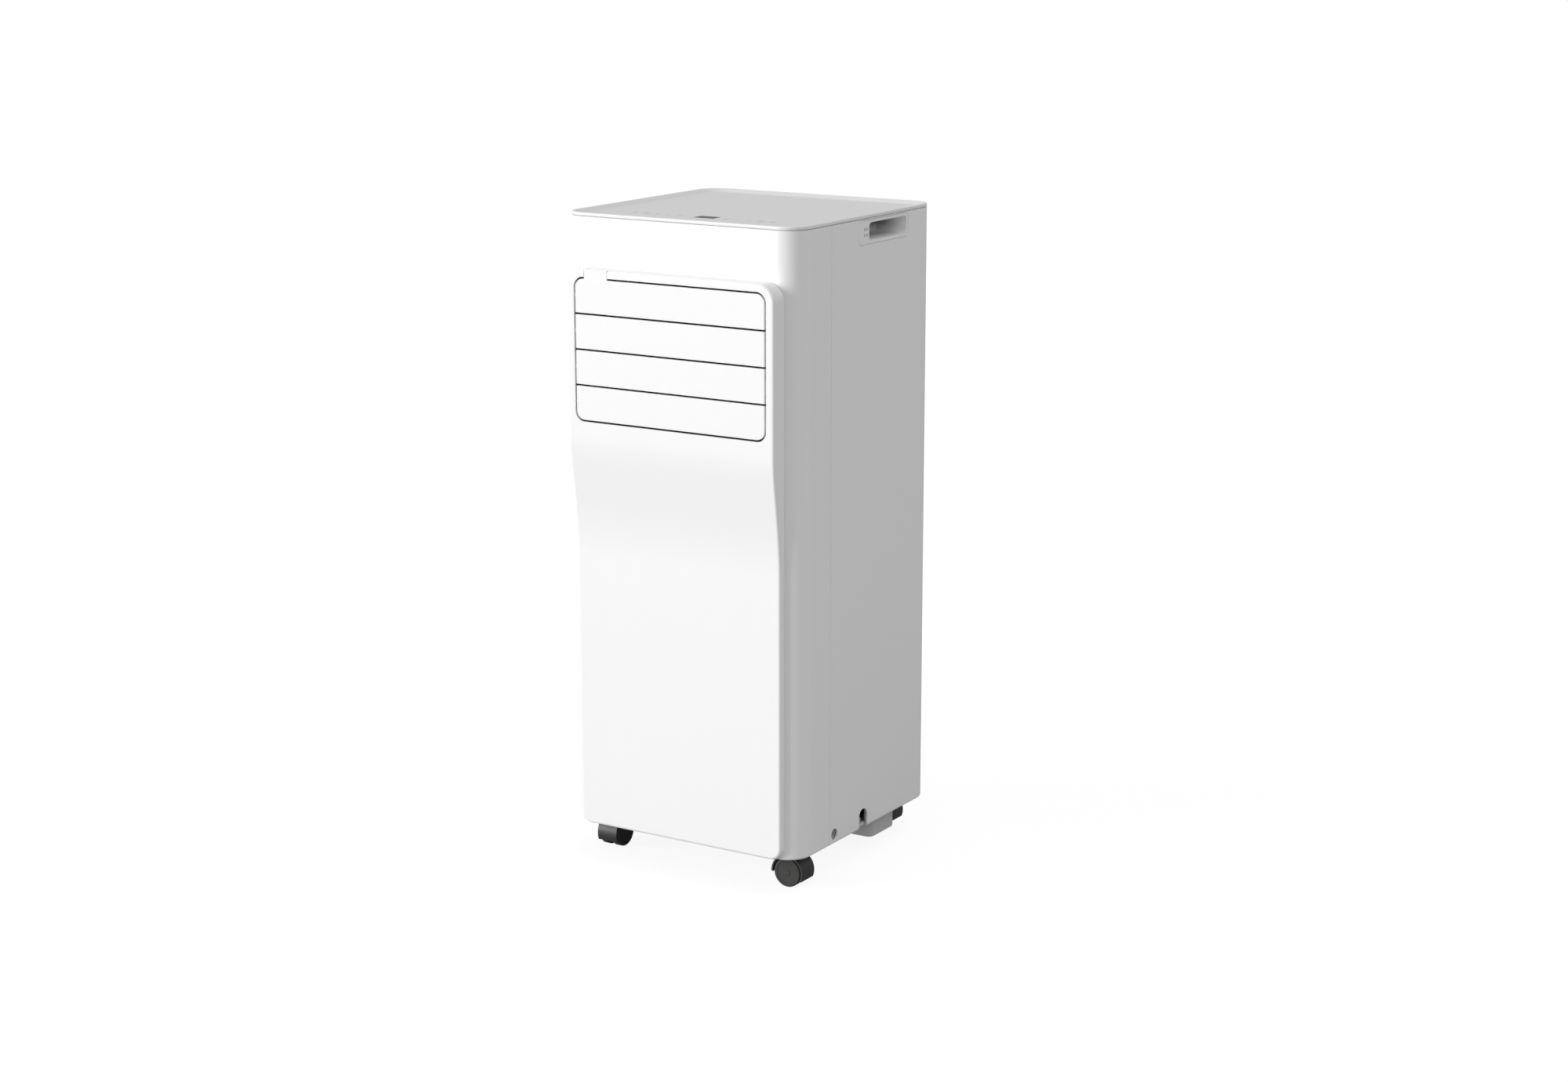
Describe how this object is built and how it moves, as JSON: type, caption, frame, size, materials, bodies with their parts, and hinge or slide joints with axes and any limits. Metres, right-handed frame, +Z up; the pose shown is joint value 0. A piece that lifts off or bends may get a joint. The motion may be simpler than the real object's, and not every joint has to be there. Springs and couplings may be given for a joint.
{
  "type": "portable air conditioner",
  "caption": "Slim floor-standing portable air conditioner: white cabinet on swivel casters with a raised front panel, linked louvres, hand pockets and a rear exhaust collar.",
  "frame": {"origin": "on the floor, under the middle of the bounding box", "axes": "+Z up, the louvres and the raised panel face -Y, +X is to the right seen from the front"},
  "size_m": [0.306, 0.333, 0.7472],
  "materials": {
    "shell_white": "fine matt white moulding",
    "duct_charcoal": "matt charcoal moulding inside the air outlet",
    "lid_grey": "satin pale grey moulding",
    "cup_grey": "matt pale grey moulding",
    "pan_grey": "matt mid grey moulding",
    "caster_black": "satin black moulding",
    "wheel_black": "satin black nylon tread",
    "axle_steel": "plain drawn steel",
    "display_black": "gloss black window",
    "board_green": "green circuit board",
    "link_black": "black moulding",
    "plug_rubber": "soft black rubber",
    "filter_mesh": "fine nylon mesh in a dark frame",
    "housing_grey": "unpainted grey moulding",
    "foam_white": "moulded bead foam",
    "fan_black": "black fan moulding",
    "motor_dark": "black stoved paint",
    "coil_aluminium": "bare fins",
    "pipe_copper": "bright copper pipe"
  },
  "bodies": {
    "cabinet": {"front_shell": "shell_white", "rear_shell": "shell_white", "top_panel": "lid_grey", "display_window": "display_black", "display_board": "board_green", "front_panel": "shell_white", "outlet_frame": "duct_charcoal", "handle_cup_right": "cup_grey", "handle_cup_left": "cup_grey", "upper_grille": "shell_white", "lower_grille": "shell_white", "exhaust_collar": "cup_grey", "cord_gland": "link_black", "base_pan": "pan_grey", "compressor": "motor_dark", "evaporator_coil": "coil_aluminium", "condenser_coil": "coil_aluminium", "upper_scroll": "foam_white", "upper_motor": "motor_dark", "lower_scroll": "housing_grey", "lower_motor": "motor_dark", "partition_tray": "pan_grey", "control_box": "housing_grey", "discharge_pipe": "pipe_copper", "suction_pipe": "pipe_copper"},
    "louvre_1": {"louvre_1": "shell_white"},
    "louvre_2": {"louvre_2": "shell_white"},
    "louvre_3": {"louvre_3": "shell_white"},
    "louvre_4": {"louvre_4": "shell_white"},
    "louvre_link": {"louvre_link": "link_black"},
    "vane_1": {"vane_1": "duct_charcoal"},
    "vane_2": {"vane_2": "duct_charcoal"},
    "vane_3": {"vane_3": "duct_charcoal"},
    "vane_4": {"vane_4": "duct_charcoal"},
    "vane_5": {"vane_5": "duct_charcoal"},
    "vane_6": {"vane_6": "duct_charcoal"},
    "vane_link": {"vane_link": "duct_charcoal"},
    "upper_filter": {"upper_filter": "filter_mesh"},
    "lower_filter": {"lower_filter": "filter_mesh"},
    "upper_drain_plug": {"upper_drain_plug": "plug_rubber"},
    "lower_drain_plug": {"lower_drain_plug": "plug_rubber"},
    "upper_blower": {"upper_blower_wheel": "fan_black"},
    "lower_blower": {"lower_blower_wheel": "fan_black"},
    "caster_front_right": {"caster_hood_front_right": "caster_black"},
    "caster_front_left": {"caster_hood_front_left": "caster_black"},
    "caster_rear_right": {"caster_hood_rear_right": "caster_black"},
    "caster_rear_left": {"caster_hood_rear_left": "caster_black"},
    "wheels_front_right": {"axle_front_right": "axle_steel", "wheel_a_front_right": "wheel_black", "wheel_b_front_right": "wheel_black"},
    "wheels_front_left": {"axle_front_left": "axle_steel", "wheel_a_front_left": "wheel_black", "wheel_b_front_left": "wheel_black"},
    "wheels_rear_right": {"axle_rear_right": "axle_steel", "wheel_a_rear_right": "wheel_black", "wheel_b_rear_right": "wheel_black"},
    "wheels_rear_left": {"axle_rear_left": "axle_steel", "wheel_a_rear_left": "wheel_black", "wheel_b_rear_left": "wheel_black"}
  },
  "joints": [
    {"name": "louvre_1_tilt", "type": "hinge", "parent": "cabinet", "child": "louvre_1", "pos_m": [0, -0.1575, 0.65815], "axis": [1, 0, 0], "range_deg": [0, 75]},
    {"name": "louvre_2_tilt", "type": "hinge", "parent": "cabinet", "child": "louvre_2", "pos_m": [0, -0.1575, 0.61825], "axis": [1, 0, 0], "range_deg": [0, 75]},
    {"name": "louvre_3_tilt", "type": "hinge", "parent": "cabinet", "child": "louvre_3", "pos_m": [0, -0.1575, 0.57835], "axis": [1, 0, 0], "range_deg": [0, 75]},
    {"name": "louvre_4_tilt", "type": "hinge", "parent": "cabinet", "child": "louvre_4", "pos_m": [0, -0.1575, 0.53845], "axis": [1, 0, 0], "range_deg": [0, 75]},
    {"name": "louvre_link_pivot", "type": "hinge", "parent": "louvre_1", "child": "louvre_link", "pos_m": [0.1254, -0.14798, 0.65085], "axis": [1, 0, 0], "range_deg": [-75, 0]},
    {"name": "vane_1_turn", "type": "hinge", "parent": "cabinet", "child": "vane_1", "pos_m": [-0.1, -0.117, 0.6], "axis": [0, 0, 1], "range_deg": [-35, 35]},
    {"name": "vane_2_turn", "type": "hinge", "parent": "cabinet", "child": "vane_2", "pos_m": [-0.06, -0.117, 0.6], "axis": [0, 0, 1], "range_deg": [-35, 35]},
    {"name": "vane_3_turn", "type": "hinge", "parent": "cabinet", "child": "vane_3", "pos_m": [-0.02, -0.117, 0.6], "axis": [0, 0, 1], "range_deg": [-35, 35]},
    {"name": "vane_4_turn", "type": "hinge", "parent": "cabinet", "child": "vane_4", "pos_m": [0.02, -0.117, 0.6], "axis": [0, 0, 1], "range_deg": [-35, 35]},
    {"name": "vane_5_turn", "type": "hinge", "parent": "cabinet", "child": "vane_5", "pos_m": [0.06, -0.117, 0.6], "axis": [0, 0, 1], "range_deg": [-35, 35]},
    {"name": "vane_6_turn", "type": "hinge", "parent": "cabinet", "child": "vane_6", "pos_m": [0.1, -0.117, 0.6], "axis": [0, 0, 1], "range_deg": [-35, 35]},
    {"name": "vane_link_pivot", "type": "hinge", "parent": "vane_1", "child": "vane_link", "pos_m": [-0.1, -0.103, 0.5174], "axis": [0, 0, 1], "range_deg": [-35, 35]},
    {"name": "upper_filter_slide", "type": "slide", "parent": "cabinet", "child": "upper_filter", "axis": [-1, 0, 0], "range_m": [0, 0.2]},
    {"name": "lower_filter_slide", "type": "slide", "parent": "cabinet", "child": "lower_filter", "axis": [-1, 0, 0], "range_m": [0, 0.2]},
    {"name": "upper_drain_plug_pull", "type": "slide", "parent": "cabinet", "child": "upper_drain_plug", "axis": [0, 1, 0], "range_m": [0, 0.014]},
    {"name": "lower_drain_plug_pull", "type": "slide", "parent": "cabinet", "child": "lower_drain_plug", "axis": [0, 1, 0], "range_m": [0, 0.014]},
    {"name": "upper_blower_spin", "type": "hinge", "parent": "cabinet", "child": "upper_blower", "pos_m": [0, -0.019, 0.598], "axis": [1, 0, 0], "continuous": true},
    {"name": "lower_blower_spin", "type": "hinge", "parent": "cabinet", "child": "lower_blower", "pos_m": [0, 0.033, 0.152], "axis": [0, 1, 0], "continuous": true},
    {"name": "swivel_front_right", "type": "hinge", "parent": "cabinet", "child": "caster_front_right", "pos_m": [0.1285, -0.102, 0.05], "axis": [0, 0, 1], "continuous": true},
    {"name": "swivel_front_left", "type": "hinge", "parent": "cabinet", "child": "caster_front_left", "pos_m": [-0.1285, -0.102, 0.05], "axis": [0, 0, 1], "continuous": true},
    {"name": "swivel_rear_right", "type": "hinge", "parent": "cabinet", "child": "caster_rear_right", "pos_m": [0.109, 0.136, 0.05], "axis": [0, 0, 1], "continuous": true},
    {"name": "swivel_rear_left", "type": "hinge", "parent": "cabinet", "child": "caster_rear_left", "pos_m": [-0.109, 0.136, 0.05], "axis": [0, 0, 1], "continuous": true},
    {"name": "roll_front_right", "type": "hinge", "parent": "caster_front_right", "child": "wheels_front_right", "pos_m": [0.1195, -0.102, 0.017], "axis": [0, 1, 0], "continuous": true},
    {"name": "roll_front_left", "type": "hinge", "parent": "caster_front_left", "child": "wheels_front_left", "pos_m": [-0.1285, -0.093, 0.017], "axis": [1, 0, 0], "continuous": true},
    {"name": "roll_rear_right", "type": "hinge", "parent": "caster_rear_right", "child": "wheels_rear_right", "pos_m": [0.1, 0.136, 0.017], "axis": [0, 1, 0], "continuous": true},
    {"name": "roll_rear_left", "type": "hinge", "parent": "caster_rear_left", "child": "wheels_rear_left", "pos_m": [-0.118, 0.136, 0.017], "axis": [0, 1, 0], "continuous": true}
  ],
  "couplings": [
    {"joint": "louvre_2_tilt", "follows": "louvre_1_tilt", "ratio": 1},
    {"joint": "louvre_3_tilt", "follows": "louvre_1_tilt", "ratio": 1},
    {"joint": "louvre_4_tilt", "follows": "louvre_1_tilt", "ratio": 1},
    {"joint": "louvre_link_pivot", "follows": "louvre_1_tilt", "ratio": -1},
    {"joint": "vane_2_turn", "follows": "vane_1_turn", "ratio": 1},
    {"joint": "vane_3_turn", "follows": "vane_1_turn", "ratio": 1},
    {"joint": "vane_4_turn", "follows": "vane_1_turn", "ratio": 1},
    {"joint": "vane_5_turn", "follows": "vane_1_turn", "ratio": 1},
    {"joint": "vane_6_turn", "follows": "vane_1_turn", "ratio": 1},
    {"joint": "vane_link_pivot", "follows": "vane_1_turn", "ratio": -1}
  ]
}
